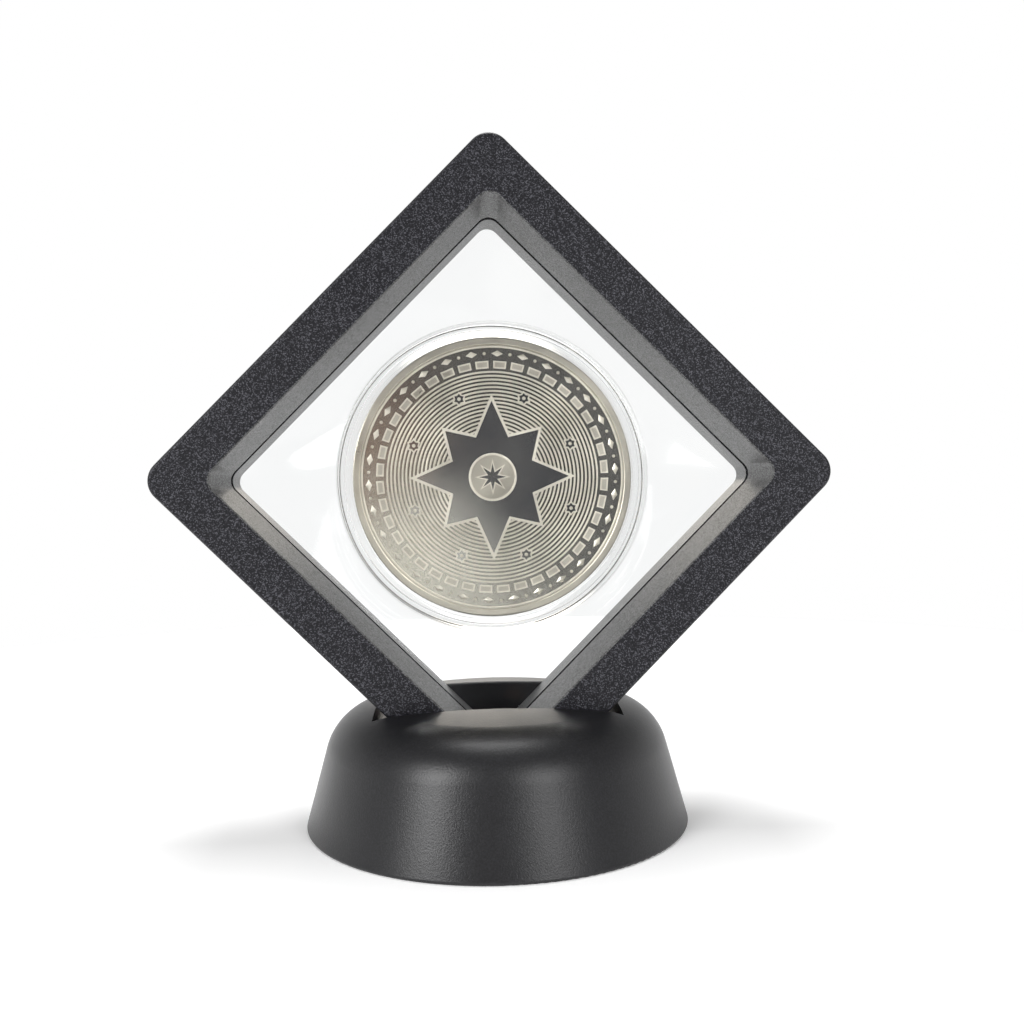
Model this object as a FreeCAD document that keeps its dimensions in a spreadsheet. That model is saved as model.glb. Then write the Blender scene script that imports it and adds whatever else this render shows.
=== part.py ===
"""Floating coin display: a coin in a round clear capsule, held between two clear
films in a square hinged case that stands on one corner in a slotted round stand.

Millimetres. Z is up, the front faces -Y, and the origin is the centre of the
stand's foot on the table. The pieces of the case are drawn in the case's own
square frame and turned 45 degrees about Y by their placement.
"""
import FreeCAD, Part
import Sketcher
import math
import os
from FreeCAD import Placement, Rotation, Vector

doc = FreeCAD.newDocument("floating_coin_display")

# ---------------------------------------------------------------- sizes
SIZES = [
    ("case_side", 70.0, "outer side of the square case"),
    ("case_depth", 20.0, "both halves together"),
    ("case_centre", 51.0, "middle of the case above the table"),
    ("case_corner", 3.2, "radius of the four outer corners"),
    ("case_edge", 0.5, "radius round the outer face"),
    ("window_side", 55.9, "window at the parting plane"),
    ("window_draft", 4.29, "degrees by which the window widens outwards"),
    ("window_corner", 2.0, "corner radius of the window at the parting plane"),
    ("window_edge", 0.3, "radius round the window's outer edge"),
    ("outer_wall", 1.6, "wall round the case"),
    ("face_skin", 1.6, "thickness of the outer face"),
    ("window_wall", 2.25, "window wall at the parting plane"),
    ("film_gap", 0.5, "parting plane to each film"),
    ("film_thick", 0.1, "film"),
    ("film_hem", 2.6, "film gripped between the window wall and the ring"),
    ("film_contact", 0.15, "capsule's edge to the circle where the film leaves it"),
    ("ring_width", 2.0, "film ring, across"),
    ("ring_depth", 3.2, "film ring, along the case's depth"),
    ("hinge_offset", 0.4, "hinge axis outside the case's side"),
    ("hinge_place", 20.0, "middle of each hinge from the middle of the side"),
    ("knuckle_radius", 1.3, "hinge barrel"),
    ("knuckle_middle", 4.0, "length of the front half's knuckle"),
    ("knuckle_end", 3.0, "length of each of the rear half's two knuckles"),
    ("knuckle_play", 0.15, "gap round and between the knuckles"),
    ("pin_radius", 0.5, "hinge pin"),
    ("pin_play", 0.05, "radial play of the pin in the front half"),
    ("tab_place", 12.0, "snap tabs from the middle of the side"),
    ("tab_width", 6.0, "snap tab"),
    ("tab_thick", 0.95, "snap tab"),
    ("tab_reach", 3.0, "snap tab past the parting plane"),
    ("tab_play", 0.05, "snap tab to the rear half's wall"),
    ("bead_height", 0.35, "snap bead"),
    ("bead_width", 0.6, "snap bead"),
    ("notch_width", 12.0, "thumb notch at the parting line"),
    ("notch_deep", 0.8, "thumb notch"),
    ("capsule_radius", 23.05, "capsule, outside"),
    ("capsule_depth", 6.4, "capsule, both shells together"),
    ("capsule_edge", 0.45, "radius round the capsule's rim"),
    ("capsule_land", 21.7, "inner radius of the raised rim"),
    ("capsule_step", 0.3, "height of the raised rim"),
    ("cavity_radius", 21.0, "coin space"),
    ("cavity_depth", 3.2, "coin space"),
    ("spigot_radius", 21.95, "rear shell's spigot"),
    ("spigot_reach", 1.4, "rear shell's spigot past the middle"),
    ("spigot_play", 0.05, "radial play round the spigot"),
    ("coin_radius", 20.75, "coin"),
    ("coin_depth", 3.0, "coin over its rims"),
    ("coin_rim", 1.5, "width of the raised rim"),
    ("coin_field", 0.3, "field below the rim"),
    ("stand_radius", 28.4, "stand at the table"),
    ("stand_height", 18.65, "stand at its middle, before the slot is cut"),
    ("stand_taper", 15.3, "degrees of the side from upright"),
    ("stand_shoulder", 8.2, "radius of the rounded shoulder"),
    ("stand_crown", 150.0, "radius of the shallow top"),
    ("stand_foot", 0.4, "radius round the foot"),
    ("stand_wall", 2.0, "wall of the stand"),
    ("slot_length", 35.4, "slot, side to side"),
    ("slot_width", 20.5, "slot, front to back"),
    ("slot_edge", 0.3, "radius round the slot's upper edge"),
    ("slot_ledge", 15.6, "height of the ledge at each end of the slot"),
    ("well_wall", 1.6, "wall of the well under the slot"),
    ("well_bottom", 2.2, "inside of the well's bottom"),
    ("seat_play", 0.05, "gap between the case and its two sloping seats"),
]
ROOT_HALF = math.sqrt(0.5)
REACH = 30.0            # height to which the slot's cutting shape runs
CORNER_ARC = 12.0       # degrees of the capsule's circle that face a window corner

sheet = doc.addObject("Spreadsheet::Sheet", "Sizes")
for row, (alias, number, note) in enumerate(SIZES, start=1):
    sheet.set(f"A{row}", note)
    sheet.set(f"B{row}", str(number))
    sheet.setAlias(f"B{row}", alias)
doc.recompute()


class Dim:
    """A dimension with both its number and the expression that binds it to the sheet."""

    def __init__(self, number, text):
        self.number = number
        self.text = text

    @staticmethod
    def of(value):
        return value if isinstance(value, Dim) else Dim(float(value), f"{float(value):.6f}")

    def __add__(self, other):
        other = Dim.of(other)
        return Dim(self.number + other.number, f"({self.text} + {other.text})")

    def __sub__(self, other):
        other = Dim.of(other)
        return Dim(self.number - other.number, f"({self.text} - {other.text})")

    def __mul__(self, factor):
        return Dim(self.number * factor, f"({self.text} * {factor:.6f})")

    def __neg__(self):
        return self * -1

    def over_cos(self, angle):
        cosine = math.cos(math.radians(angle.number))
        return Dim(self.number / cosine, f"({self.text} / cos({angle.text} * 1 deg))")


def size(alias):
    return Dim(float(sheet.get(alias)), f"Sizes.{alias}")


half_case = size("case_side") * 0.5
half_depth = size("case_depth") * 0.5
half_window = size("window_side") * 0.5
window_back = half_window + size("window_wall")
cavity_wall = half_case - size("outer_wall")
ring_outside = window_back + size("film_thick") + size("ring_width")
film_face = size("film_gap")
film_back = film_face + size("film_thick")
hinge_axis = -(half_case + size("hinge_offset"))
knuckle_reach = size("knuckle_middle") * 0.5 + size("knuckle_play") + size("knuckle_end")

FRONT, REAR = -1, 1
UPRIGHT = Placement()
CASE_PLACE = Placement(Vector(0, 0, size("case_centre").number), Rotation(Vector(0, 1, 0), 45))


# ---------------------------------------------------------------- helpers
def bind(thing, name, value):
    thing.setExpression(name, Dim.of(value).text)


def new_body(label, place):
    body = doc.addObject("PartDesign::Body", label)
    body.Label = label
    body.Placement = place
    return body


def new_sketch(body, role, name):
    """An empty sketch on one of the body's own origin planes."""
    plane = next(item for item in body.Origin.OriginFeatures if item.Role == role)
    sketch = body.newObject("Sketcher::SketchObject", name)
    sketch.AttachmentSupport = [(plane, "")]
    sketch.MapMode = "FlatFace"
    return sketch


def dimension(sketch, kind, *places, value):
    """A dimensional constraint bound to the sheet."""
    index = sketch.addConstraint(Sketcher.Constraint(kind, *places, value.number))
    bind(sketch, f"Constraints[{index}]", value)


def add_square(sketch, half):
    """A square of a given half side, centred on the sketch's origin."""
    a = half.number
    corners = [Vector(-a, -a), Vector(a, -a), Vector(a, a), Vector(-a, a)]
    first = sketch.GeometryCount
    for i in range(4):
        sketch.addGeometry(Part.LineSegment(corners[i], corners[(i + 1) % 4]))
    for i in range(4):
        sketch.addConstraint(Sketcher.Constraint("Coincident", first + i, 2, first + (i + 1) % 4, 1))
    for i in (0, 2):
        sketch.addConstraint(Sketcher.Constraint("Horizontal", first + i))
        sketch.addConstraint(Sketcher.Constraint("Vertical", first + i + 1))
    sketch.addConstraint(Sketcher.Constraint("Symmetric", first, 1, first + 2, 1, -1, 1))
    dimension(sketch, "DistanceX", first, 1, first, 2, value=half * 2)
    dimension(sketch, "DistanceY", first + 1, 1, first + 1, 2, value=half * 2)


def add_outline(sketch, corners):
    """A closed outline of straight sides through corners given as dimensions."""
    corners = [(Dim.of(x), Dim.of(y)) for x, y in corners]
    points = [Vector(x.number, y.number) for x, y in corners]
    count = len(corners)
    for i in range(count):
        sketch.addGeometry(Part.LineSegment(points[i], points[(i + 1) % count]))
    for i in range(count):
        sketch.addConstraint(Sketcher.Constraint("Coincident", i, 2, (i + 1) % count, 1))
    for i, (x, y) in enumerate(corners):
        dimension(sketch, "DistanceX", -1, 1, i, 1, value=x)
        dimension(sketch, "DistanceY", -1, 1, i, 1, value=y)


def extrude(body, kind, sketch, name, length, reverse=False, midplane=False, taper=None):
    """A Pad or a Pocket of a sketch."""
    feature = body.newObject(f"PartDesign::{kind}", name)
    feature.Profile = sketch
    feature.Reversed = reverse
    feature.SideType = "Symmetric" if midplane else "One side"
    bind(feature, "Length", length)
    if taper is not None:
        bind(feature, "TaperAngle", taper)
    doc.recompute()
    return feature


def revolve(body, sketch, name):
    """A full turn of a sketch about its own vertical axis."""
    feature = body.newObject("PartDesign::Revolution", name)
    feature.Profile = sketch
    feature.ReferenceAxis = (sketch, ["V_Axis"])
    feature.Angle = 360.0
    doc.recompute()
    return feature


def round_edges(body, base, name, radius, wanted):
    """A fillet on those edges of the base feature that wanted() picks."""
    names = [f"Edge{i}" for i, edge in enumerate(base.Shape.Edges, start=1) if wanted(edge)]
    if not names:
        raise RuntimeError(f"{body.Label}: {name} finds no edge")
    feature = body.newObject("PartDesign::Fillet", name)
    feature.Base = (base, names)
    bind(feature, "Radius", radius)
    doc.recompute()
    return feature


def primitive(body, kind, name, at, **sizes):
    """An additive or subtractive box or cylinder; at is its low corner or base centre."""
    feature = body.newObject(f"PartDesign::{kind}", name)
    for key, value in sizes.items():
        bind(feature, key, value)
    for axis, value in zip("xyz", at):
        bind(feature, f"Placement.Base.{axis}", value)
    doc.recompute()
    return feature


def block(body, kind, name, low, high):
    low = [Dim.of(value) for value in low]
    high = [Dim.of(value) for value in high]
    length, width, height = (top - base for base, top in zip(low, high))
    return primitive(body, kind + "Box", name, low, Length=length, Width=width, Height=height)


def near(value, target, margin=0.05):
    return abs(value - target) < margin


# ---------------------------------------------------------------- stand
def stand_dome(label, inset, foot):
    """The stand's outside, or the same shape drawn in by the wall for its hollow."""
    taper = size("stand_taper")
    radius = size("stand_radius") - Dim.of(inset).over_cos(taper)
    height = size("stand_height") - inset
    crown = size("stand_crown") - inset
    shoulder = size("stand_shoulder") - inset
    slope = math.tan(math.radians(taper.number))
    rim_z = height.number - radius.number ** 2 / (2 * crown.number)
    rim = Vector(radius.number - slope * rim_z, rim_z)
    axis_foot, side_foot, top = Vector(0, 0), Vector(radius.number, 0), Vector(0, height.number)
    middle = Vector(0, height.number - crown.number)

    body = new_body(label, UPRIGHT)
    sketch = new_sketch(body, "XZ_Plane", label + "_section")
    sketch.addGeometry(Part.LineSegment(axis_foot, side_foot))
    sketch.addGeometry(Part.LineSegment(side_foot, rim))
    rim_angle = math.atan2(rim.y - middle.y, rim.x)
    circle = Part.Circle(middle, Vector(0, 0, 1), crown.number)
    sketch.addGeometry(Part.ArcOfCircle(circle, rim_angle, math.pi / 2))
    sketch.addGeometry(Part.LineSegment(top, axis_foot))
    for pair in ((0, 2, 1, 1), (1, 2, 2, 1), (2, 2, 3, 1), (3, 2, 0, 1), (0, 1, -1, 1)):
        sketch.addConstraint(Sketcher.Constraint("Coincident", *pair))
    sketch.addConstraint(Sketcher.Constraint("Horizontal", 0))
    sketch.addConstraint(Sketcher.Constraint("Vertical", 3))
    sketch.addConstraint(Sketcher.Constraint("PointOnObject", 2, 3, -2))
    dimension(sketch, "DistanceX", 0, 1, 0, 2, value=radius)
    dimension(sketch, "DistanceY", 0, 1, 2, 2, value=height)
    dimension(sketch, "Radius", 2, value=crown)
    index = sketch.addConstraint(Sketcher.Constraint("Angle", 1, math.radians(90 + taper.number)))
    sketch.setExpression(f"Constraints[{index}]", f"90 deg + {taper.text} * 1 deg")
    doc.recompute()
    solid = revolve(body, sketch, label + "_turn")
    solid = round_edges(body, solid, label + "_shoulder", shoulder,
                        lambda edge: edge.BoundBox.ZMin > 5 and edge.BoundBox.XLength > 5)
    if foot is not None:
        round_edges(body, solid, label + "_foot", foot,
                    lambda edge: edge.BoundBox.ZMax < 0.01 and edge.BoundBox.YLength > 5)
    return body


def trough(label, corners, width):
    """A prism along Y with a section that is mirrored about the middle."""
    body = new_body(label, UPRIGHT)
    sketch = new_sketch(body, "XZ_Plane", label + "_section")
    mirrored = [(-Dim.of(x), z) for x, z in reversed(corners)]
    add_outline(sketch, corners + mirrored)
    doc.recompute()
    extrude(body, "Pad", sketch, label + "_width", width, midplane=True)
    return body


def boolean(kind, label, base, tool):
    result = doc.addObject(f"Part::{kind}", label)
    result.Label = label
    result.Base = base
    result.Tool = tool
    doc.recompute()
    return result


def make_stand():
    """A hollow dome whose slot opens into a well with two sloping seats."""
    corner_z = size("case_centre") - size("case_side") * ROOT_HALF
    seat_z = corner_z - size("seat_play") * (1 / ROOT_HALF)
    under_z = corner_z - size("well_wall") * (1 / ROOT_HALF)
    half_slot = size("slot_length") * 0.5
    ledge = size("slot_ledge")
    bottom = size("well_bottom")
    cutter = trough("slot_space", [
        (bottom - seat_z, bottom),
        (ledge - seat_z, ledge),
        (half_slot, ledge),
        (half_slot, REACH),
    ], size("slot_width"))
    ledge_under = ledge - size("well_wall")
    foot_under = bottom - size("well_wall")
    end_wall = half_slot + size("well_wall")
    well = trough("well_outside", [
        (foot_under - under_z, foot_under),
        (ledge_under - under_z, ledge_under),
        (end_wall, ledge_under),
        (end_wall, REACH),
    ], size("slot_width") + size("well_wall") * 2)
    outside = stand_dome("dome_outside", 0, size("stand_foot"))
    inside = stand_dome("dome_inside", size("stand_wall"), None)
    hollow = boolean("Cut", "stand_hollow", inside, well)
    shell = boolean("Cut", "stand_shell", outside, hollow)
    slotted = boolean("Cut", "stand_slotted", shell, cutter)

    stand = doc.addObject("Part::Fillet", "stand_base")
    stand.Label = "stand_base"
    stand.Base = slotted
    radius = size("slot_edge").number
    half_width = size("slot_width").number / 2
    edges = []
    for number, edge in enumerate(slotted.Shape.Edges, start=1):
        box = edge.BoundBox
        along_x = box.YLength < 0.01 and near(abs(box.YMin), half_width) and box.XLength > 20
        along_y = box.XLength < 0.01 and near(abs(box.XMin), half_slot.number) and box.YLength > 12
        if (along_x or along_y) and box.ZMax > ledge.number + 1:
            edges.append((number, radius, radius))
    stand.Edges = edges
    doc.recompute()
    return stand


# ---------------------------------------------------------------- case
def add_hinges(body, sign):
    """Knuckles of one half, room for the other half's, and the pins' bores."""
    middle_half = size("knuckle_middle") * 0.5
    play = size("knuckle_play")
    middle_span = (-middle_half, middle_half)
    end_spans = ((-knuckle_reach, -(middle_half + play)), (middle_half + play, knuckle_reach))
    own = (middle_span,) if sign == FRONT else end_spans
    other = end_spans if sign == FRONT else (middle_span,)
    bore = size("pin_radius") + (size("pin_play") if sign == FRONT else 0)
    for side, name in ((-1, "lower"), (1, "upper")):
        place = size("hinge_place") * side
        for i, (low, high) in enumerate(other):
            primitive(body, "SubtractiveCylinder", f"{body.Label}_{name}_room_{i}",
                      (hinge_axis, 0, place + low - play),
                      Radius=size("knuckle_radius") + play, Height=high - low + play * 2)
        for i, (low, high) in enumerate(own):
            primitive(body, "AdditiveCylinder", f"{body.Label}_{name}_knuckle_{i}",
                      (hinge_axis, 0, place + low),
                      Radius=size("knuckle_radius"), Height=high - low)
        primitive(body, "SubtractiveCylinder", f"{body.Label}_{name}_bore",
                  (hinge_axis, 0, place - knuckle_reach), Radius=bore, Height=knuckle_reach * 2)


def add_snap_tabs(body):
    """Two tabs on the front half that click into the rear half's wall."""
    inner = cavity_wall - size("tab_play") - size("tab_thick")
    outer = cavity_wall - size("tab_play")
    reach = size("tab_reach")
    bead_top = reach - size("tab_play") * 2
    for side, name in ((-1, "lower"), (1, "upper")):
        low = size("tab_place") * side - size("tab_width") * 0.5
        high = size("tab_place") * side + size("tab_width") * 0.5
        block(body, "Additive", f"snap_tab_{name}", (inner, -reach, low), (outer, reach, high))
        block(body, "Additive", f"snap_root_{name}",
              (inner, -reach, low), (cavity_wall + size("tab_play"), 0, high))
        block(body, "Additive", f"snap_bead_{name}",
              (inner + size("tab_thick") * 0.5, bead_top - size("bead_width"), low),
              (outer + size("bead_height"), bead_top, high))


def add_snap_pockets(body):
    """The pockets in the rear half's wall that take the beads."""
    play = size("tab_play") * 2
    bead_top = size("tab_reach") - size("tab_play") * 2
    for side, name in ((-1, "lower"), (1, "upper")):
        middle = size("tab_place") * side
        half = size("tab_width") * 0.5 + play
        block(body, "Subtractive", f"snap_pocket_{name}",
              (cavity_wall - play, bead_top - size("bead_width") - play, middle - half),
              (cavity_wall + size("bead_height") + play, bead_top + play, middle + half))


def add_thumb_notch(body):
    half = size("notch_width") * 0.5
    deep = size("notch_deep")
    block(body, "Subtractive", "thumb_notch",
          (half_case - deep, -deep, -half), (half_case + 1, 1, half))


def case_half(label, sign):
    """One picture-frame half: outer wall, face, and a drafted window wall."""
    away = sign == REAR         # the sketch plane's own normal points to -Y
    body = new_body(label, CASE_PLACE)
    sketch = new_sketch(body, "XZ_Plane", label + "_outline")
    add_square(sketch, half_case)
    slab = extrude(body, "Pad", sketch, label + "_slab", half_depth, reverse=away)
    side = half_case.number
    slab = round_edges(body, slab, label + "_corners", size("case_corner"),
                       lambda edge: edge.BoundBox.XLength < 0.01 and edge.BoundBox.ZLength < 0.01)
    depth = half_depth.number
    slab = round_edges(body, slab, label + "_rim", size("case_edge"),
                       lambda edge: near(edge.BoundBox.YMin * sign, depth)
                       and near(edge.BoundBox.YMax * sign, depth))

    sketch = new_sketch(body, "XZ_Plane", label + "_window")
    add_square(sketch, half_window)
    frame = extrude(body, "Pocket", sketch, label + "_window_cut", half_depth,
                    reverse=not away, taper=size("window_draft"))
    frame = round_edges(body, frame, label + "_window_corners", size("window_corner"),
                        lambda edge: edge.BoundBox.YLength > depth - 1
                        and abs(edge.BoundBox.XMin) < side - 3 and edge.BoundBox.XLength > 0.1)
    frame = round_edges(body, frame, label + "_window_rim", size("window_edge"),
                        lambda edge: near(edge.BoundBox.YMin * sign, depth)
                        and near(edge.BoundBox.YMax * sign, depth)
                        and max(abs(edge.BoundBox.XMin), abs(edge.BoundBox.XMax)) < side - 4
                        and max(abs(edge.BoundBox.ZMin), abs(edge.BoundBox.ZMax)) < side - 4)

    sketch = new_sketch(body, "XZ_Plane", label + "_channel")
    add_square(sketch, cavity_wall)
    add_square(sketch, window_back)
    extrude(body, "Pocket", sketch, label + "_channel_cut", half_depth - size("face_skin"),
            reverse=not away)
    sketch = new_sketch(body, "XZ_Plane", label + "_lowered_wall")
    add_square(sketch, window_back + size("film_thick") * 2)
    extrude(body, "Pocket", sketch, label + "_lowered_wall_cut", film_back, reverse=not away)

    add_hinges(body, sign)
    if sign == FRONT:
        add_snap_tabs(body)
        add_thumb_notch(body)
    else:
        add_snap_pockets(body)
    return body


def hinge_pin(label, side):
    pin = doc.addObject("Part::Cylinder", label)
    pin.Label = label
    bind(pin, "Radius", size("pin_radius"))
    bind(pin, "Height", knuckle_reach * 2)
    start = size("hinge_place") * side - knuckle_reach
    pin.Placement = CASE_PLACE * Placement(Vector(hinge_axis.number, 0, start.number), Rotation())
    return pin


# ---------------------------------------------------------------- films
def film_ring(label, sign):
    """The square hoop that grips the film's hem against the window wall."""
    body = new_body(label, CASE_PLACE)
    sketch = new_sketch(body, "XZ_Plane", label + "_section")
    add_square(sketch, ring_outside)
    add_square(sketch, window_back + size("film_thick"))
    bind(sketch, "AttachmentOffset.Base.z", film_face * -sign)
    doc.recompute()
    extrude(body, "Pad", sketch, label + "_depth", size("ring_depth"), reverse=sign == REAR)
    return body


def rounded_square_wire(half, corner, y):
    """Eight edges: four sides and four corner arcs, starting at the +X side."""
    edges = []
    inner = half - corner
    for turn in range(4):
        spin = Rotation(Vector(0, 1, 0), -90 * turn)
        start, end = (spin.multVec(Vector(half, y, z)) for z in (-inner, inner))
        middle = spin.multVec(Vector(inner + corner * ROOT_HALF, y, inner + corner * ROOT_HALF))
        after = spin.multVec(Vector(inner, y, half))
        edges.append(Part.LineSegment(start, end).toShape())
        edges.append(Part.Arc(end, middle, after).toShape())
    return Part.Wire(edges)


def split_circle_wire(radius, y):
    """A circle in eight arcs that face the sides and corners of the square."""
    edges = []
    for turn in range(4):
        middle = 90 * turn
        for centre, span in ((middle, 90 - CORNER_ARC), (middle + 45, CORNER_ARC)):
            angles = [math.radians(centre + span * part) for part in (-0.5, 0, 0.5)]
            points = [Vector(radius * math.cos(a), y, radius * math.sin(a)) for a in angles]
            edges.append(Part.Arc(*points).toShape())
    return Part.Wire(edges)


def square_ring(inside, outside, low, high):
    """A square ring between two half sides and two depths."""
    def plate(half):
        return Part.makeBox(2 * half, high - low, 2 * half, Vector(-half, low, -half))

    return plate(outside).cut(plate(inside))


def film(label, sign):
    """A film drawn from the window wall's edge down to the capsule's rim, with its hem."""
    thick = size("film_thick").number
    face_y = film_back.number
    touch_y = size("capsule_depth").number / 2 + thick / 2
    contact_radius = (size("capsule_radius") - size("film_contact")).number
    corner = size("window_corner").number
    half = half_window.number
    tent = Part.makeLoft([rounded_square_wire(half, corner, -face_y),
                          split_circle_wire(contact_radius, -touch_y - thick)], True, True)
    inside = tent.copy()
    inside.translate(Vector(0, thick, 0))
    hem_inside = window_back.number
    hem_outside = hem_inside + thick
    flat = square_ring(half - thick, hem_outside, -face_y, -film_face.number)
    hem_low = -face_y - size("film_hem").number
    hem = square_ring(hem_inside, hem_outside, hem_low, -film_face.number)
    shape = tent.cut(inside).fuse([flat, hem]).removeSplitter()
    if sign == REAR:
        shape = shape.mirror(Vector(0, 0, 0), Vector(0, 1, 0))
    feature = doc.addObject("Part::Feature", label)
    feature.Label = label
    feature.Shape = shape
    feature.Placement = CASE_PLACE
    return feature


# ---------------------------------------------------------------- capsule and coin
def turned(label, section):
    """A round piece turned about the case's depth axis; section is (radius, depth)."""
    body = new_body(label, CASE_PLACE)
    sketch = new_sketch(body, "XY_Plane", label + "_section")
    add_outline(sketch, section)
    doc.recompute()
    return body, revolve(body, sketch, label + "_turn")


def capsule_shell(label, sign):
    half = size("capsule_depth") * 0.5
    floor = size("cavity_depth") * 0.5
    land = size("capsule_land")
    radius = size("capsule_radius")
    recess = half - size("capsule_step")
    spigot = size("spigot_radius")
    if sign == REAR:
        cavity = size("cavity_radius")
        joint = [(cavity, floor), (cavity, -size("spigot_reach")), (spigot, -size("spigot_reach")),
                 (spigot, 0), (radius, 0)]
    else:
        bore = spigot + size("spigot_play")
        joint = [(bore, floor), (bore, 0), (radius, 0)]
    section = [(0, floor)] + joint + [(radius, half), (land, half), (land, recess), (0, recess)]
    section = [(r, Dim.of(y) * sign) for r, y in section]
    body, solid = turned(label, section)
    rim, top = radius.number, half.number
    round_edges(body, solid, label + "_rim", size("capsule_edge"),
                lambda edge: near(edge.BoundBox.YMax, top * sign, 0.01)
                and near(edge.BoundBox.YMin, top * sign, 0.01)
                and near(edge.BoundBox.XMax, rim, 0.01))
    return body


def make_coin():
    half = size("coin_depth") * 0.5
    field = half - size("coin_field")
    radius = size("coin_radius")
    inner = radius - size("coin_rim")
    body, _ = turned("coin", [
        (0, -field), (inner, -field), (inner, -half), (radius, -half),
        (radius, half), (inner, half), (inner, field), (0, field),
    ])
    return body


# ---------------------------------------------------------------- assembly
pieces = [
    make_stand(),
    case_half("front_case_half", FRONT),
    case_half("rear_case_half", REAR),
    hinge_pin("hinge_pin_upper", 1),
    hinge_pin("hinge_pin_lower", -1),
    film_ring("front_film_frame", FRONT),
    film_ring("rear_film_frame", REAR),
    film("front_film", FRONT),
    film("rear_film", REAR),
    capsule_shell("capsule_front", FRONT),
    capsule_shell("capsule_rear", REAR),
    make_coin(),
]
doc.recompute()

for item in doc.Objects:
    if "Invalid" in item.State or "Error" in item.State:
        raise RuntimeError(f"{item.Label} failed: {item.State}")
for piece in pieces:
    if piece.Shape.isNull() or not piece.Shape.isValid() or len(piece.Shape.Solids) != 1:
        raise RuntimeError(f"{piece.Label} is not one valid solid")

os.makedirs("parts", exist_ok=True)
for piece in pieces:
    piece.Shape.exportStep(f"parts/{piece.Label}.step")
    box = piece.Shape.BoundBox
    print(f"{piece.Label}: {piece.Shape.Volume:.1f} mm3, x {box.XMin:.2f} {box.XMax:.2f}, "
          f"y {box.YMin:.2f} {box.YMax:.2f}, z {box.ZMin:.2f} {box.ZMax:.2f}")
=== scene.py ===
"""The looks of a floating coin display: a coin in a clear round capsule, held
between two clear films in a square black case that stands on its corner in a
slotted round stand. Lengths are millimetres in the code and become metres when
a mesh is made. The front of the object faces -Y.
"""

import math

import bmesh
import bpy
import numpy as np
from mathutils import Matrix, Vector


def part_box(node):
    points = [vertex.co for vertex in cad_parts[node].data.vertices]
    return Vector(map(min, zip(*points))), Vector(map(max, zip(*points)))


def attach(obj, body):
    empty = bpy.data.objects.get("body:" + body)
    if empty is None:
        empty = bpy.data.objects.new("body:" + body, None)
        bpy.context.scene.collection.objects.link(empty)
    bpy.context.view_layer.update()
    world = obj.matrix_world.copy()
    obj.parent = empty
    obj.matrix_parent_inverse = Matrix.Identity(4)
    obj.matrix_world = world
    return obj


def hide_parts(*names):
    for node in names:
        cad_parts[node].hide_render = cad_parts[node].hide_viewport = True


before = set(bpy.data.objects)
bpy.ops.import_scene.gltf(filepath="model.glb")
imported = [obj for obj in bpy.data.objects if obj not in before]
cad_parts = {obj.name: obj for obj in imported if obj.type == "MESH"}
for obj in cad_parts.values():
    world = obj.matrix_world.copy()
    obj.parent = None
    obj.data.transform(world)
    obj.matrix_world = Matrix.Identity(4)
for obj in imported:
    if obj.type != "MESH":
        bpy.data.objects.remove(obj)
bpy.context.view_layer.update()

MM = 0.001


def box_mm(node):
    """A node's box in millimetres, as its low and its high corner."""
    low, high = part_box(node)
    return np.array(low) / MM, np.array(high) / MM


# ---------------------------------------------------------------- places read from the frame
coin_low, coin_high = box_mm("coin")
shell_low, shell_high = box_mm("capsule_front")
_, rear_shell_high = box_mm("capsule_rear")
film_low, film_high = box_mm("front_film")

CENTRE = (coin_low + coin_high) / 2                 # middle of the case, capsule and coin
COIN_RADIUS = (coin_high[0] - coin_low[0]) / 2
COIN_HALF = (coin_high[1] - coin_low[1]) / 2
CAPSULE_RADIUS = (shell_high[0] - shell_low[0]) / 2
CAPSULE_HALF = rear_shell_high[1]
FILM_SPAN = (film_high[0] - film_low[0]) / 2        # middle to a corner of the film
FILM_HEM = FILM_SPAN * math.sqrt(0.5)               # middle to the hem's outside

HALF_TURN = Matrix.Rotation(math.pi, 4, "Z")
CASE_TURN = Matrix.Rotation(math.radians(45), 4, "Y")


def make_object(name, verts, faces, body, materials, face_materials=None, turn=None):
    """A mesh piece from millimetre points about the case's middle, riding on a body."""
    mesh = bpy.data.meshes.new(name)
    points = np.array(verts, float)
    if turn is not None:
        points = points @ np.array(turn.to_3x3()).T
    mesh.from_pydata(((points + CENTRE) * MM).tolist(), [], faces)
    for material in materials:
        mesh.materials.append(material)
    if face_materials is not None:
        mesh.polygons.foreach_set("material_index", face_materials)
    turned_out = bmesh.new()
    turned_out.from_mesh(mesh)
    bmesh.ops.recalc_face_normals(turned_out, faces=turned_out.faces)
    turned_out.to_mesh(mesh)
    turned_out.free()
    piece = bpy.data.objects.new(name, mesh)
    bpy.context.scene.collection.objects.link(piece)
    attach(piece, body)
    return piece


def shade(piece, angle):
    """Smooth shading with sharp edges above an angle in degrees."""
    mesh = piece.data
    mesh.polygons.foreach_set("use_smooth", [True] * len(mesh.polygons))
    mesh.set_sharp_from_angle(angle=math.radians(angle))
    mesh.update()


# ---------------------------------------------------------------- materials
CASE_GRAIN_AND_GLINT_CELLS = 7200.0             # grain cells per metre in the case's plastic; their light cells are painted glints, the rest grain tone
CASE_GRAIN_DEPTH = 0.00003       # depths of surface texture, in metres
STAND_GRAIN_DEPTH = 0.00006
METAL_GRAIN_DEPTH = 0.00002
FACE_TURN, FACE_FLAT = 0.80, 0.97    # a wall becomes a face as its normal nears the depth axis
WINDOW_END, SIDE_START = 0.47, 0.48  # bounds of the window's walls, which carry a painted reflection, and of the outer sides


def new_material(name, **values):
    """A material with a Principled shader; values are its sockets by name."""
    material = bpy.data.materials.new(name)
    material.use_nodes = True
    shader = material.node_tree.nodes["Principled BSDF"]
    for socket, value in values.items():
        shader.inputs[socket.replace("_", " ")].default_value = value
    return material, shader


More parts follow.
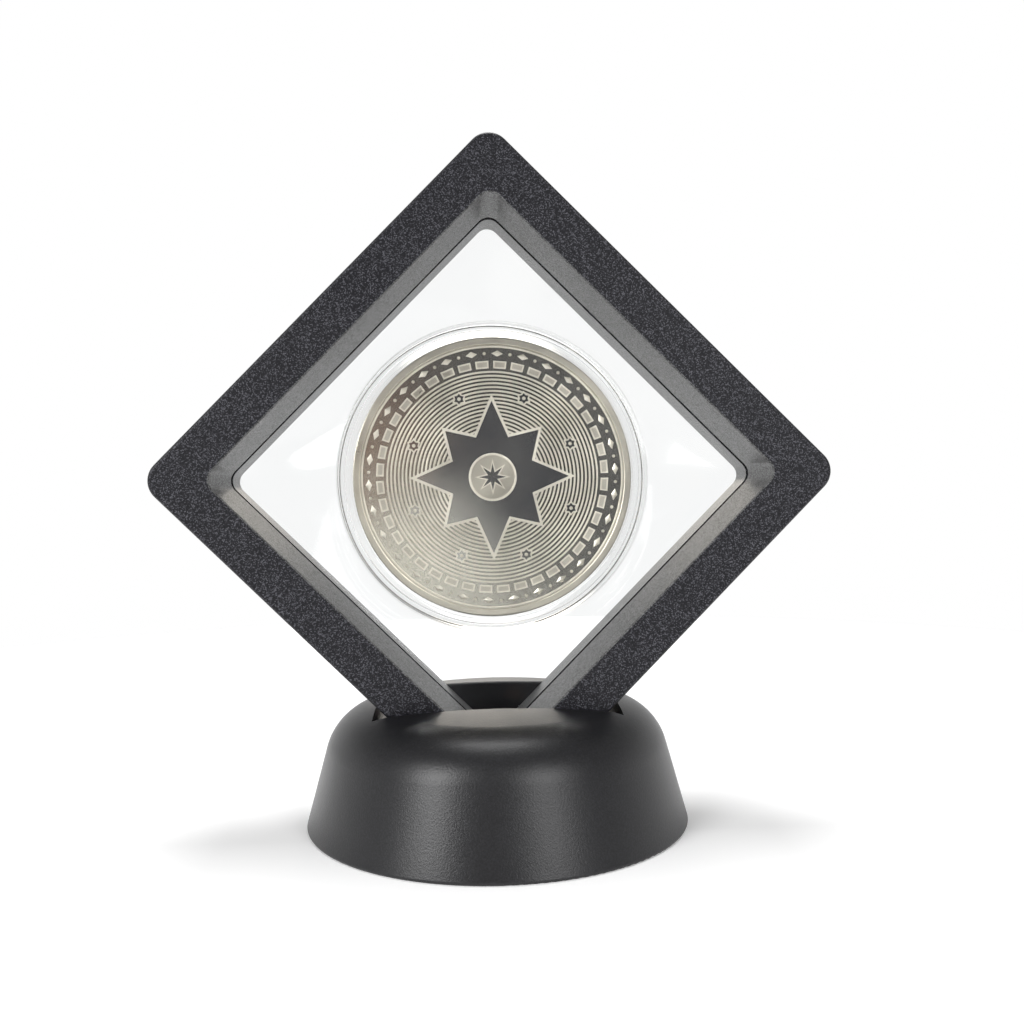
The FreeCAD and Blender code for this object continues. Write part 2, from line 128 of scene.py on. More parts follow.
def add_node(owner, kind, **values):
    """A new node in a material's or the world's tree; values are its settings."""
    node = owner.node_tree.nodes.new(kind)
    for key, value in values.items():
        setattr(node, key, value)
    return node


def link(owner, out, into):
    owner.node_tree.links.new(out, into)


def mix(owner, share, low, high, data_type="RGBA"):
    """Blends from low to high by a share; each is a node's output or a fixed colour."""
    node = add_node(owner, "ShaderNodeMix", data_type=data_type)
    kind = {"RGBA": "RGBA", "FLOAT": "VALUE"}[data_type]
    link(owner, share, node.inputs["Factor"])
    for name, value in (("A", low), ("B", high)):
        socket = next(s for s in node.inputs if s.name == name and s.type == kind)
        if isinstance(value, tuple):
            socket.default_value = (*value, 1.0)
        else:
            link(owner, value, socket)
    return next(s for s in node.outputs if s.type == kind)


def noise(material, scale, detail=2.0, roughness=0.5):
    """Noise in the object's own metres; scale is in features per metre."""
    where = add_node(material, "ShaderNodeTexCoord")
    texture = add_node(material, "ShaderNodeTexNoise")
    texture.inputs["Scale"].default_value = scale
    texture.inputs["Detail"].default_value = detail
    texture.inputs["Roughness"].default_value = roughness
    link(material, where.outputs["Object"], texture.inputs["Vector"])
    return texture.outputs["Fac"]


def grains(material, scale):
    """A random number from 0 to 1 for each little cell; scale is in cells per metre."""
    where = add_node(material, "ShaderNodeTexCoord")
    texture = add_node(material, "ShaderNodeTexVoronoi")
    texture.inputs["Scale"].default_value = scale
    link(material, where.outputs["Object"], texture.inputs["Vector"])
    split = add_node(material, "ShaderNodeSeparateColor")
    link(material, texture.outputs["Color"], split.inputs["Color"])
    return split.outputs["Red"]


def remap(material, value, low, high, to_low, to_high):
    """Maps a value from one range to another and clamps it there."""
    node = add_node(material, "ShaderNodeMapRange", clamp=True)
    node.inputs["From Min"].default_value = low
    node.inputs["From Max"].default_value = high
    node.inputs["To Min"].default_value = to_low
    node.inputs["To Max"].default_value = to_high
    link(material, value, node.inputs["Value"])
    return node.outputs["Result"]


def ramp(material, value, stops):
    """Colours a value by stops, each a place from 0 to 1 and a colour."""
    node = add_node(material, "ShaderNodeValToRGB")
    elements = node.color_ramp.elements
    while len(elements) < len(stops):
        elements.new(0.5)
    for element, (place, colour) in zip(elements, stops):
        element.position = place
        element.color = (*colour, 1.0)
    link(material, value, node.inputs["Fac"])
    return node.outputs["Color"]


def add_bump(material, shader, height, strength, distance):
    """Bump on a shader; distance in metres."""
    node = add_node(material, "ShaderNodeBump")
    node.inputs["Strength"].default_value = strength
    node.inputs["Distance"].default_value = distance
    link(material, height, node.inputs["Height"])
    link(material, node.outputs["Normal"], shader.inputs["Normal"])


def moulded_plastic(name, dark, light, rough, grain, strength):
    """Black moulded plastic with a spark-eroded grain and a faint sheen of wear."""
    material, shader = new_material(name, Roughness=rough, IOR=1.52)
    fine = noise(material, grain, detail=2.0, roughness=0.6)
    broad = noise(material, 45.0, detail=3.0)
    colour = ramp(material, fine, [(0.40, dark), (0.66, light)])
    link(material, colour, shader.inputs["Base Color"])
    link(material, remap(material, broad, 0.3, 0.7, rough - 0.03, rough + 0.04),
         shader.inputs["Roughness"])
    add_bump(material, shader, fine, strength, STAND_GRAIN_DEPTH)
    return material


def far_from_middle(material):
    """How far out a point of the case lies: 0.44 on the window's walls, 0.51 on the sides."""
    place = add_node(material, "ShaderNodeTexCoord")
    split = add_node(material, "ShaderNodeSeparateXYZ")
    link(material, place.outputs["Generated"], split.inputs["Vector"])
    total = add_node(material, "ShaderNodeMath", operation="ADD")
    for index, axis in enumerate("XZ"):
        shift = add_node(material, "ShaderNodeMath", operation="SUBTRACT")
        shift.inputs[1].default_value = 0.5
        link(material, split.outputs[axis], shift.inputs[0])
        size = add_node(material, "ShaderNodeMath", operation="ABSOLUTE")
        link(material, shift.outputs["Value"], size.inputs[0])
        link(material, size.outputs["Value"], total.inputs[index])
    return total.outputs["Value"]


def case_plastic():
    """The case's black plastic: spark-eroded faces speckled with grain tone and painted glints,
    finer and glossier walls, and the window's walls given a lighter base colour as a painted
    reflection.
    """
    material, shader = new_material("case_plastic", Specular_IOR_Level=0.26)
    speckle_grain_and_glints = grains(material, CASE_GRAIN_AND_GLINT_CELLS)
    pits = noise(material, 4800.0, detail=2.0, roughness=0.6)
    broad = noise(material, 60.0, detail=3.0)
    facing = add_node(material, "ShaderNodeNewGeometry")
    split = add_node(material, "ShaderNodeSeparateXYZ")
    link(material, facing.outputs["True Normal"], split.inputs["Vector"])
    size = add_node(material, "ShaderNodeMath", operation="ABSOLUTE")
    link(material, split.outputs["Y"], size.inputs[0])
    on_face = remap(material, size.outputs["Value"], FACE_TURN, FACE_FLAT, 0.0, 1.0)
    on_side = remap(material, far_from_middle(material), WINDOW_END, SIDE_START, 0.0, 1.0)
    # Painted glints: a few grain cells get a far lighter base colour, standing in for the glints
    # of the spark-eroded surface; the darker cells are grain tone.
    face_tone = ramp(material, speckle_grain_and_glints, [(0.0, (0.002, 0.002, 0.004)),
                                         (0.65, (0.008, 0.008, 0.011)),
                                         (1.0, (0.090, 0.090, 0.104))])
    side_tone = ramp(material, speckle_grain_and_glints, [(0.0, (0.005, 0.005, 0.006)),
                                         (1.0, (0.040, 0.040, 0.044))])
    # Painted reflection: the window's walls get a much lighter base colour than the rest of the
    # black plastic, standing in for their bright grazing reflection.
    window_wall_painted_reflection = ramp(material, speckle_grain_and_glints, [(0.0, (0.02, 0.02, 0.02)),
                                           (1.0, (0.20, 0.20, 0.20))])
    wall_tone = mix(material, on_side, window_wall_painted_reflection, side_tone)
    tone = mix(material, on_face, wall_tone, face_tone)
    link(material, tone, shader.inputs["Base Color"])
    face_rough = remap(material, broad, 0.3, 0.7, 0.42, 0.50)
    wall_rough = remap(material, speckle_grain_and_glints, 0.0, 1.0, 0.37, 0.30)
    rough = mix(material, on_face, wall_rough, face_rough, data_type="FLOAT")
    link(material, rough, shader.inputs["Roughness"])
    depth = add_node(material, "ShaderNodeMath", operation="MULTIPLY")
    link(material, pits, depth.inputs[0])
    link(material, on_face, depth.inputs[1])
    add_bump(material, shader, depth.outputs["Value"], 0.75, CASE_GRAIN_DEPTH)
    return material


def clear_acrylic():
    """Clear acrylic that bends light less than the real one, so that rims stay pale."""
    material, shader = new_material(
        "clear_acrylic", Base_Color=(0.99, 0.992, 0.99, 1), Roughness=0.01, IOR=1.20,
        Transmission_Weight=1.0)
    add_bump(material, shader, noise(material, 150.0, detail=1.0), 0.05, 0.0001)
    return material


def clear_film():
    """A thin clear film: see-through, with a gloss that grows where it is seen at a slant."""
    material = bpy.data.materials.new("clear_film")
    material.use_nodes = True
    nodes = material.node_tree.nodes
    nodes.remove(nodes["Principled BSDF"])
    clear = add_node(material, "ShaderNodeBsdfTransparent")
    clear.inputs["Color"].default_value = (0.99, 0.992, 0.992, 1)
    gloss = add_node(material, "ShaderNodeBsdfGlossy")
    gloss.inputs["Roughness"].default_value = 0.07
    slant = add_node(material, "ShaderNodeLayerWeight")
    steep = add_node(material, "ShaderNodeMath", operation="POWER")
    steep.inputs[1].default_value = 4.0
    link(material, slant.outputs["Facing"], steep.inputs[0])
    both = add_node(material, "ShaderNodeMixShader")
    link(material, remap(material, steep.outputs["Value"], 0.0, 1.0, 0.010, 0.5),
         both.inputs["Fac"])
    link(material, clear.outputs["BSDF"], both.inputs[1])
    link(material, gloss.outputs["BSDF"], both.inputs[2])
    link(material, both.outputs["Shader"], nodes["Material Output"].inputs["Surface"])
    add_bump(material, gloss, noise(material, 90.0, detail=2.0), 0.25, 0.0002)
    return material


def metal(name, dark, light, rough, grain, strength, spread=0.05):
    """Plated metal: tone and roughness drift a little, and a fine grain."""
    material, shader = new_material(name, Metallic=1.0, Roughness=rough)
    drift = noise(material, 160.0, detail=4.0)
    link(material, ramp(material, drift, [(0.3, dark), (0.7, light)]), shader.inputs["Base Color"])
    link(material, remap(material, drift, 0.3, 0.7, rough - spread, rough + spread),
         shader.inputs["Roughness"])
    add_bump(material, shader, noise(material, grain, detail=2.0), strength, METAL_GRAIN_DEPTH)
    return material


CASE_PLASTIC = case_plastic()
STAND_PLASTIC = moulded_plastic("stand_plastic", (0.004, 0.004, 0.005), (0.011, 0.011, 0.013),
                                rough=0.34, grain=4200.0, strength=0.42)
RING_PLASTIC = moulded_plastic("ring_plastic", (0.010, 0.010, 0.011), (0.018, 0.018, 0.019),
                               rough=0.5, grain=2500.0, strength=0.2)
ACRYLIC = clear_acrylic()
FILM = clear_film()
COIN_MIRROR = metal("coin_mirror", (0.40, 0.395, 0.38), (0.44, 0.435, 0.41),
                    rough=0.11, grain=900.0, strength=0.003, spread=0.02)
COIN_FROST = metal("coin_frost", (0.63, 0.60, 0.52), (0.71, 0.675, 0.59),
                   rough=0.37, grain=9000.0, strength=0.6)
COIN_FIELD = metal("coin_field", (0.37, 0.36, 0.32), (0.41, 0.40, 0.36),
                   rough=0.17, grain=1500.0, strength=0.10, spread=0.02)
COIN_SATIN = metal("coin_satin", (0.40, 0.38, 0.325), (0.48, 0.455, 0.39),
                   rough=0.31, grain=6000.0, strength=0.8)
PIN_STEEL = metal("pin_steel", (0.42, 0.42, 0.43), (0.55, 0.55, 0.56),
                  rough=0.3, grain=5000.0, strength=0.3)


# ---------------------------------------------------------------- round pieces
def lathe(section, count, wobble=None):
    """Turns a (radius, depth) section about the depth axis; wobble(i, j) scales a radius.

    Each face comes with the number of the section's span that it was turned from.
    """
    verts, faces, rings, spans = [], [], [], []
    for i, (radius, depth) in enumerate(section):
        if radius == 0.0:
            rings.append([len(verts)] * count)
            verts.append((0.0, depth, 0.0))
            continue
        rings.append(list(range(len(verts), len(verts) + count)))
        for j in range(count):
            angle = 2 * math.pi * j / count
            r = radius if wobble is None else radius * wobble(i, j)
            verts.append((r * math.cos(angle), depth, r * math.sin(angle)))
    for i in range(len(section) - 1):
        a, b = rings[i], rings[i + 1]
        for j in range(count):
            k = (j + 1) % count
            face = [a[j], a[k], b[k], b[j]]
            face = [v for n, v in enumerate(face) if v not in face[:n]]
            faces.append(face)
            spans.append(i)
    return verts, faces, spans


def corner_round(centre, radius, start, end, steps):
    """Points of an arc between two angles in degrees, in the section's plane."""
    return [(centre[0] + radius * math.cos(math.radians(start + (end - start) * n / steps)),
             centre[1] + radius * math.sin(math.radians(start + (end - start) * n / steps)))
            for n in range(steps + 1)]


CAPSULE_LAND, CAPSULE_STEP = 21.7, 0.3   # inner radius and height of the raised rim
CAPSULE_EDGE, LAND_EDGE = 0.45, 0.12     # roundings of the shell's edge and of the raised rim
CAVITY_RADIUS, CAVITY_HALF = 21.0, 1.6   # the coin's space
SOCKET_RADIUS = 22.0                     # the front shell's bore over the rear shell's spigot
SPIGOT_RADIUS, SPIGOT_REACH, SPIGOT_CHAMFER = 21.95, 1.4, 0.1
JOINT_GAP = 0.015                        # each shell stops this far from the parting plane
SHELL_COUNT = 288                        # points round a shell


def make_capsule_shell(name, node, front):
    """One clear shell: a window with a raised rim, and its half of the joint."""
    outside = (
        [(CAPSULE_RADIUS, JOINT_GAP + LAND_EDGE)]
        + corner_round((CAPSULE_RADIUS - CAPSULE_EDGE, CAPSULE_HALF - CAPSULE_EDGE),
                       CAPSULE_EDGE, 0, 90, 6)
        + corner_round((CAPSULE_LAND + LAND_EDGE, CAPSULE_HALF - LAND_EDGE), LAND_EDGE, 90, 180, 3)
        + [(CAPSULE_LAND, CAPSULE_HALF - CAPSULE_STEP), (0.0, CAPSULE_HALF - CAPSULE_STEP)]
    )
    if front:
        inside = [(0.0, CAVITY_HALF), (SOCKET_RADIUS, CAVITY_HALF), (SOCKET_RADIUS, JOINT_GAP)]
    else:
        shy = SPIGOT_REACH - SPIGOT_CHAMFER
        inside = [(0.0, CAVITY_HALF), (CAVITY_RADIUS, CAVITY_HALF), (CAVITY_RADIUS, -shy),
                  (CAVITY_RADIUS + SPIGOT_CHAMFER, -SPIGOT_REACH),
                  (SPIGOT_RADIUS - SPIGOT_CHAMFER, -SPIGOT_REACH),
                  (SPIGOT_RADIUS, -shy), (SPIGOT_RADIUS, JOINT_GAP)]
    section = inside + [(CAPSULE_RADIUS - LAND_EDGE, JOINT_GAP)] + outside
    sign = -1 if front else 1
    verts, faces, _ = lathe([(r, y * sign) for r, y in section], SHELL_COUNT)
    if not front:
        faces = [face[::-1] for face in faces]
    piece = make_object(name, verts, faces, "case", [ACRYLIC])
    shade(piece, 25)
    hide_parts(node)
    piece.visible_shadow = False


# ---------------------------------------------------------------- coin
FIELD = COIN_HALF - 0.3          # depth of the field from the coin's middle
RIDGE_FIRST, RIDGE_LAST, RIDGE_PITCH = 4.2, 15.5, 0.565
RIDGE_WIDTH, RIDGE_FLANK, RIDGE_HEIGHT = 0.30, 0.06, 0.11
BEAD_HEIGHT, LEDGE_HEIGHT = 0.16, 0.06   # the fine bead inside the rim and the ledge beside it
DENTIL_RADIUS, DENTIL_COUNT = 16.75, 40
ORNAMENT_RADIUS, ORNAMENT_COUNT = 18.4, 60
ROSETTE_RADIUS, ROSETTE_COUNT = 12.6, 8
REEDS, REED_DEPTH = 180, 0.0045  # grooves round the edge, and their depth as a share of the radius
BURIED = 0.02                    # how far relief starts below the field
DRAFT = 0.04                     # how far relief leans in from foot to top
MIRROR, FROST, SATIN, GROUND = 0, 1, 2, 3
FINISHES = [COIN_MIRROR, COIN_FROST, COIN_SATIN, COIN_FIELD]


def coin_side():
    """Half the coin's section, from its axis to its edge, with each span's finish."""
    points = [(0.0, FIELD, MIRROR)]
    radius = RIDGE_FIRST
    while radius < RIDGE_LAST:
        points += [(radius, FIELD, FROST),
                   (radius + RIDGE_FLANK, FIELD + RIDGE_HEIGHT, FROST),
                   (radius + RIDGE_WIDTH - RIDGE_FLANK, FIELD + RIDGE_HEIGHT, FROST),
                   (radius + RIDGE_WIDTH, FIELD, GROUND)]
        radius += RIDGE_PITCH
    points += [(19.22, FIELD, FROST), (19.27, FIELD + BEAD_HEIGHT, FROST),
               (19.47, FIELD + BEAD_HEIGHT, SATIN), (19.52, FIELD + LEDGE_HEIGHT, SATIN),
               (19.66, FIELD + LEDGE_HEIGHT, FROST), (19.74, COIN_HALF - 0.03, FROST),
               (19.80, COIN_HALF, SATIN), (20.55, COIN_HALF, SATIN),
               (COIN_RADIUS - 0.05, COIN_HALF - 0.06, SATIN),
               (COIN_RADIUS, COIN_HALF - 0.18, SATIN)]
    return points


def offset_outline(outline, distance):
    """The outline moved inwards by a distance, with mitred corners; it runs anticlockwise."""
    moved = []
    count = len(outline)
    for i in range(count):
        before, here, after = (np.array(outline[(i + k) % count]) for k in (-1, 0, 1))
        first, second = here - before, after - here
        first, second = first / np.linalg.norm(first), second / np.linalg.norm(second)
        normal = np.array([-first[1] - second[1], first[0] + second[0]])
        normal /= np.linalg.norm(normal)
        across = normal @ np.array([-first[1], first[0]])
        moved.append(tuple(here + normal * distance / max(across, 0.35)))
    return moved


class Relief:
    """Collects raised shapes on one face of the coin."""

    def __init__(self):
        self.verts, self.faces, self.finish = [], [], []

    def ring(self, outline, height):
        """Adds an outline's points at a height and gives their numbers."""
        start = len(self.verts)
        self.verts += [(x, -height, z) for x, z in outline]
        return list(range(start, start + len(outline)))

    def wall(self, low, high, finish):
        for i in range(len(low)):
            k = (i + 1) % len(low)
            self.faces.append([low[i], low[k], high[k], high[i]])
            self.finish.append(finish)

    def cap(self, ring, finish):
        self.faces.append(list(ring))
        self.finish.append(finish)

    def plate(self, outline, base, top, border, sink, inner):
        """A raised plate with a frosted border round a face that lies a little lower."""
        draft = offset_outline(outline, DRAFT)
        inner_edge = offset_outline(outline, DRAFT + border)
        inner_foot = offset_outline(outline, 2 * DRAFT + border)
        foot = self.ring(outline, base)
        shoulder = self.ring(draft, top)
        lip = self.ring(inner_edge, top)
        bed = self.ring(inner_foot, top - sink)
        self.wall(foot, shoulder, FROST)
        self.wall(shoulder, lip, FROST)
        self.wall(lip, bed, FROST)
        self.cap(bed, inner)
        self.cap(foot[::-1], FROST)

    def stud(self, outline, base, top, share):
        """A raised shape with sloping sides and a flat top."""
        middle = np.mean(np.array(outline), axis=0)
        crown = [tuple(middle + (np.array(p) - middle) * share) for p in outline]
        foot = self.ring(outline, base)
        head = self.ring(crown, top)
        self.wall(foot, head, FROST)
        self.cap(head, FROST)
        self.cap(foot[::-1], FROST)


def polar(radius, angle):
    return (radius * math.cos(angle), radius * math.sin(angle))


def circle(radius, count, centre=(0.0, 0.0)):
    return [(centre[0] + radius * math.cos(2 * math.pi * i / count),
             centre[1] + radius * math.sin(2 * math.pi * i / count)) for i in range(count)]


def star(points, tip, valley, second_tip=None):
    """A star with one tip straight up; every other tip can be shorter."""
    outline = []
    for i in range(points):
        reach = second_tip if second_tip is not None and i % 2 else tip
        outline.append(polar(reach, math.pi / 2 + 2 * math.pi * i / points))
        outline.append(polar(valley, math.pi / 2 + 2 * math.pi * (i + 0.5) / points))
    return outline


def lozenge(radius, angle, length, width):
    """A diamond whose long axis runs round the coin."""
    across = length / 2 / radius
    return [polar(radius - width / 2, angle), polar(radius, angle + across),
            polar(radius + width / 2, angle), polar(radius, angle - across)]


def block_outline(radius, angle, length, width):
    """A block whose long side runs round the coin."""
    half = length / 2 / radius
    inner, outer = radius - width / 2, radius + width / 2
    return [polar(inner, angle - half), polar(outer, angle - half),
            polar(outer, angle + half), polar(inner, angle + half)]


def anticlockwise(outline):
    """The outline, turned round if it runs clockwise."""
    area = sum(a[0] * b[1] - b[0] * a[1] for a, b in zip(outline, outline[1:] + outline[:1]))
    return outline if area > 0 else outline[::-1]


def add_rosettes(relief, base):
    """Small rosettes in the star's valleys, each a plate with a pearl in the middle."""
    for i in range(ROSETTE_COUNT):
        centre = polar(ROSETTE_RADIUS, math.pi * (2 * i + 1) / ROSETTE_COUNT)
        petals = [(centre[0] + x, centre[1] + z) for x, z in star(6, 1.15, 0.78)]
        relief.plate(petals, base, FIELD + 0.17, border=0.14, sink=0.05, inner=MIRROR)
        relief.stud(circle(0.30, 12, centre), FIELD + 0.10, FIELD + 0.22, share=0.5)


def coin_relief():
    """The raised design of one face: a great star, a medallion, blocks, lozenges and pearls."""
    relief = Relief()
    base = FIELD - BURIED
    great_star = star(8, tip=12.4, valley=6.9, second_tip=10.6)
    relief.plate(great_star, base, FIELD + 0.21, border=0.34, sink=0.07, inner=MIRROR)
    medallion = circle(3.6, 72)
    relief.plate(medallion, FIELD + 0.10, FIELD + 0.25, border=0.28, sink=0.10, inner=SATIN)
    small_star = star(8, tip=2.7, valley=1.1)
    relief.plate(small_star, FIELD + 0.12, FIELD + 0.26, border=0.14, sink=0.04, inner=MIRROR)
    add_rosettes(relief, base)
    for i in range(DENTIL_COUNT):
        angle = 2 * math.pi * (i + 0.5) / DENTIL_COUNT
        block = anticlockwise(block_outline(DENTIL_RADIUS, angle, length=1.95, width=1.15))
        relief.plate(block, base, FIELD + 0.15, border=0.16, sink=0.04, inner=SATIN)
    for i in range(ORNAMENT_COUNT):
        angle = 2 * math.pi * (i + 0.5) / ORNAMENT_COUNT
        if i % 2:
            pearl = circle(0.28, 10, polar(ORNAMENT_RADIUS, angle))
            relief.stud(pearl, base, FIELD + 0.15, share=0.5)
        else:
            diamond = anticlockwise(lozenge(ORNAMENT_RADIUS, angle, length=1.9, width=1.0))
            relief.stud(diamond, base, FIELD + 0.16, share=0.35)
    return relief


def make_coin():
    """The struck coin: a turned body with ridges, rims and a reeded edge, and two reliefs."""
    side = coin_side()
    section = [(r, -y) for r, y, _ in side] + [(r, y) for r, y, _ in reversed(side)]
    span_finish = [f for _, _, f in side][:-1] + [SATIN] + [f for _, _, f in side][-2::-1]
    edge_rings = {i for i, (r, _) in enumerate(section) if r > COIN_RADIUS - 0.01}

    def reeding(i, j):
        return 1.0 - REED_DEPTH if i in edge_rings and j % 3 == 0 else 1.0

    verts, faces, spans = lathe(section, REEDS * 3, wobble=reeding)
    finish = [span_finish[i] for i in spans]
    relief = coin_relief()
    for turn in (Matrix.Identity(4), HALF_TURN):
        start = len(verts)
        spin = np.array(turn.to_3x3())
        verts += (np.array(relief.verts) @ spin.T).tolist()
        faces += [[v + start for v in face] for face in relief.faces]
        finish += relief.finish
    piece = make_object("struck_coin", verts, faces, "case", FINISHES, finish)
    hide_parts("coin")


# ---------------------------------------------------------------- films
WINDOW_HALF, WINDOW_CORNER = 27.95, 2.0
FILM_LINE = 0.55                 # from the parting plane to the middle of the film's margin
FILM_THICK = 0.06
FILM_FLAT = -(CAPSULE_HALF + FILM_THICK)     # depth of the film's flat middle
CONTACT_RADIUS = CAPSULE_RADIUS - 0.35
FLAT_SHARES = (0.2, 0.5, 0.8, 0.95)          # rings inside the contact circle
HEM_CORNER, HEM_LENGTH = 1.0, 2.5            # the margin, turned in along the window's wall
AROUND, TENT_STEPS, RELAX_STEPS = 288, 18, 600


def rounded_square_reach(angle, half, corner):
    """Distance from the middle to a rounded square's edge in a direction."""
    c, s = abs(math.cos(angle)), abs(math.sin(angle))
    reach = half / max(c, s)
    inner = half - corner
    if min(c, s) * reach <= inner:
        return reach
    along = inner * (c + s)
    return along + math.sqrt(max(along ** 2 - 2 * inner ** 2 + corner ** 2, 0.0))


def film_rings():
    """Rings of points from the film's middle to the end of its hem, tented by relaxation."""
    angles = np.arange(AROUND) * 2 * math.pi / AROUND
    directions = np.stack([np.cos(angles), np.zeros(AROUND), np.sin(angles)], axis=1)

    def square_ring(half, corner, depth):
        reach = np.array([rounded_square_reach(a, half, corner) for a in angles])
        return directions * reach[:, None] + [0, -depth, 0]

    inner = directions * CONTACT_RADIUS + [0, FILM_FLAT, 0]
    outer = square_ring(WINDOW_HALF, WINDOW_CORNER, FILM_LINE)
    part = (np.arange(TENT_STEPS + 1) / TENT_STEPS)[:, None, None]
    tent = inner * (1 - part) + outer * part
    for _ in range(RELAX_STEPS):
        around = np.roll(tent, 1, axis=1) + np.roll(tent, -1, axis=1)
        along = tent[:-2] + tent[2:]
        tent[1:-1] = (around[1:-1] + along) / 4
    flats = [directions * (CONTACT_RADIUS * share) + [0, FILM_FLAT, 0] for share in FLAT_SHARES]
    hem = FILM_HEM - FILM_THICK
    margin = [square_ring(WINDOW_HALF + 0.3, WINDOW_CORNER, FILM_LINE),
              square_ring(hem - 0.1, HEM_CORNER, FILM_LINE),
              square_ring(hem, HEM_CORNER, FILM_LINE + 0.1),
              square_ring(hem, HEM_CORNER, FILM_LINE + HEM_LENGTH)]
    return flats + list(tent) + margin


def make_film(name, node, front):
    """A film stretched over the capsule's rim and clamped round the window."""
    rings = film_rings()
    verts, faces = [(0.0, FILM_FLAT, 0.0)], []
    for ring in rings:
        verts += ring.tolist()
    for j in range(AROUND):
        faces.append([0, 1 + (j + 1) % AROUND, 1 + j])
    for i in range(len(rings) - 1):
        a, b = 1 + i * AROUND, 1 + (i + 1) * AROUND
        for j in range(AROUND):
            k = (j + 1) % AROUND
            faces.append([a + j, a + k, b + k, b + j])
    turn = CASE_TURN if front else CASE_TURN @ HALF_TURN
    piece = make_object(name, verts, faces, "case", [FILM], turn=turn)
    shade(piece, 60)
    solid = piece.modifiers.new("thickness", "SOLIDIFY")
    solid.thickness = FILM_THICK * MM
    solid.offset = 0.0
    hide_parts(node)
    piece.visible_shadow = False


# ---------------------------------------------------------------- finishes on the CAD pieces
def finish_cad(node, material):
    """Gives a shown CAD node its one material."""
    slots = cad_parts[node].data.materials
    slots.clear()
    slots.append(material)


finish_cad("stand_base", STAND_PLASTIC)
for half in ("front_case_half", "rear_case_half"):
    finish_cad(half, CASE_PLASTIC)
for ring in ("front_film_frame", "rear_film_frame"):
    finish_cad(ring, RING_PLASTIC)
for pin in ("hinge_pin_upper", "hinge_pin_lower"):
    finish_cad(pin, PIN_STEEL)

make_coin()
make_capsule_shell("clear_shell_front", "capsule_front", True)
make_capsule_shell("clear_shell_rear", "capsule_rear", False)
make_film("film_sheet_front", "front_film", True)
make_film("film_sheet_rear", "rear_film", False)


# ---------------------------------------------------------------- stage, light and camera
FLOOR_RADIUS, FLOOR_COUNT = 0.25, 96     # metres, and points round the disc


def make_floor():
    """A pale paper disc under the stand, faintly lit of itself so that shadows stay light."""
    mesh = bpy.data.meshes.new("floor")
    rim = [(x, y, 0.0) for x, y in circle(FLOOR_RADIUS, FLOOR_COUNT)]
    mesh.from_pydata(rim, [], [list(range(FLOOR_COUNT))])
    material, shader = new_material(
        "floor_paper", Roughness=0.9, Emission_Color=(1, 1, 1, 1), Emission_Strength=0.16,
        Specular_IOR_Level=0.1)
    tone = ramp(material, noise(material, 40.0),
                [(0.3, (0.93, 0.93, 0.93)), (0.7, (0.95, 0.95, 0.95))])
    link(material, tone, shader.inputs["Base Color"])
    mesh.materials.append(material)
    floor = bpy.data.objects.new("floor", mesh)
    bpy.context.scene.collection.objects.link(floor)


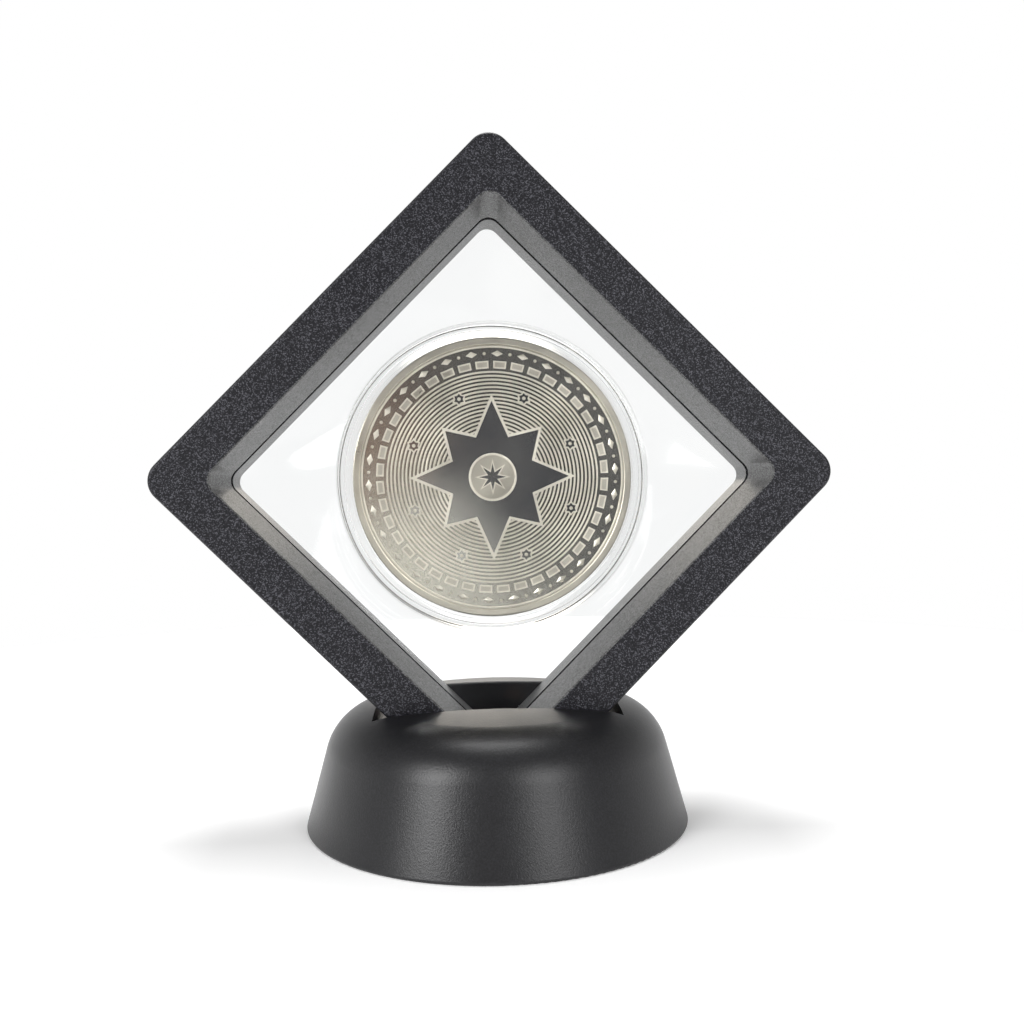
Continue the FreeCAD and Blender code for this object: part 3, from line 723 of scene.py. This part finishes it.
def make_world():
    """Pale surroundings, dimmer in front and overhead, with soft patches for the metal to mirror.

    The camera itself sees plain white behind the object.
    """
    world = bpy.data.worlds.new("studio")
    world.use_nodes = True
    bpy.context.scene.world = world
    where = add_node(world, "ShaderNodeTexCoord")

    def lobe(direction, inner, outer):
        """1 inside an angle round a direction, falling to 0 at the outer angle, in degrees."""
        dot = add_node(world, "ShaderNodeVectorMath", operation="DOT_PRODUCT")
        dot.inputs[1].default_value = Vector(direction).normalized()
        link(world, where.outputs["Generated"], dot.inputs[0])
        fall = add_node(world, "ShaderNodeMapRange", interpolation_type="SMOOTHSTEP")
        fall.inputs["From Min"].default_value = math.cos(math.radians(outer))
        fall.inputs["From Max"].default_value = math.cos(math.radians(inner))
        link(world, dot.outputs["Value"], fall.inputs["Value"])
        return fall.outputs["Result"]

    colour = (0.90, 0.90, 0.90)
    for direction, inner, outer, patch in (
            ((0, -1, 0), 50, 110, (0.20, 0.20, 0.215)),             # dim front
            ((0, 0, 1), 56, 80, (0.32, 0.32, 0.32)),                # dim overhead
            ((0, 1, 0.30), 2, 10, (3.6, 3.35, 3.0)),                # low bright patch behind
            ((0.07, -1, 0.06), 8, 17, (0.16, 0.16, 0.175)),         # dark patch at the camera
            ((-0.13, -1, -0.155), 4, 13, (1.9, 1.87, 1.75)),        # bright patch, low left
            ((-0.125, -1, 0.055), 2, 6, (0.56, 0.36, 0.29))):       # warm patch, left
        colour = mix(world, lobe(direction, inner, outer), colour, patch)
    background = world.node_tree.nodes["Background"]
    link(world, colour, background.inputs["Color"])

    seen = add_node(world, "ShaderNodeBackground")
    seen.inputs["Color"].default_value = (1, 1, 1, 1)
    path = add_node(world, "ShaderNodeLightPath")
    choose = add_node(world, "ShaderNodeMixShader")
    link(world, path.outputs["Is Camera Ray"], choose.inputs["Fac"])
    link(world, background.outputs["Background"], choose.inputs[1])
    link(world, seen.outputs["Background"], choose.inputs[2])
    surface = world.node_tree.nodes["World Output"].inputs["Surface"]
    link(world, choose.outputs["Shader"], surface)


def make_lamp(name, place, size, watts):
    """A soft rectangular lamp aimed low at the object; place and size in metres."""
    lamp = bpy.data.lights.new(name, "AREA")
    lamp.shape = "RECTANGLE"
    lamp.size, lamp.size_y = size
    lamp.energy = watts
    holder = bpy.data.objects.new(name, lamp)
    bpy.context.scene.collection.objects.link(holder)
    holder.location = place
    aim = Vector((0, 0, CENTRE[2] * MM * 0.5)) - Vector(place)
    holder.rotation_euler = aim.to_track_quat("-Z", "Y").to_euler()


def make_camera():
    """Eye just left of the middle and nearly level with the coin, turned a little right."""
    eye = Vector((-3.98, -151.1, 48.0)) * MM
    pan, tilt, roll = math.radians(-2.59), math.radians(-0.864), math.radians(0.95)
    camera = bpy.data.cameras.new("camera")
    camera.sensor_width = 36.0
    camera.lens = 35.29
    camera.clip_start = 0.01
    holder = bpy.data.objects.new("camera", camera)
    bpy.context.scene.collection.objects.link(holder)
    look = (Matrix.Rotation(pan, 4, "Z") @ Matrix.Rotation(tilt, 4, "X")
            @ Matrix.Rotation(roll, 4, "Y") @ Matrix.Rotation(math.pi / 2, 4, "X"))
    holder.matrix_world = Matrix.Translation(eye) @ look
    bpy.context.scene.camera = holder


make_floor()
make_world()
make_lamp("lamp_left", place=(-0.62, -0.66, 0.40), size=(0.36, 0.56), watts=5.5)
make_lamp("lamp_right", place=(0.46, -0.82, 0.40), size=(0.34, 0.56), watts=3.7)
make_lamp("lamp_top", place=(0.0, 0.18, 0.95), size=(0.42, 0.42), watts=5.6)
make_camera()
bpy.context.scene.view_settings.view_transform = "Standard"
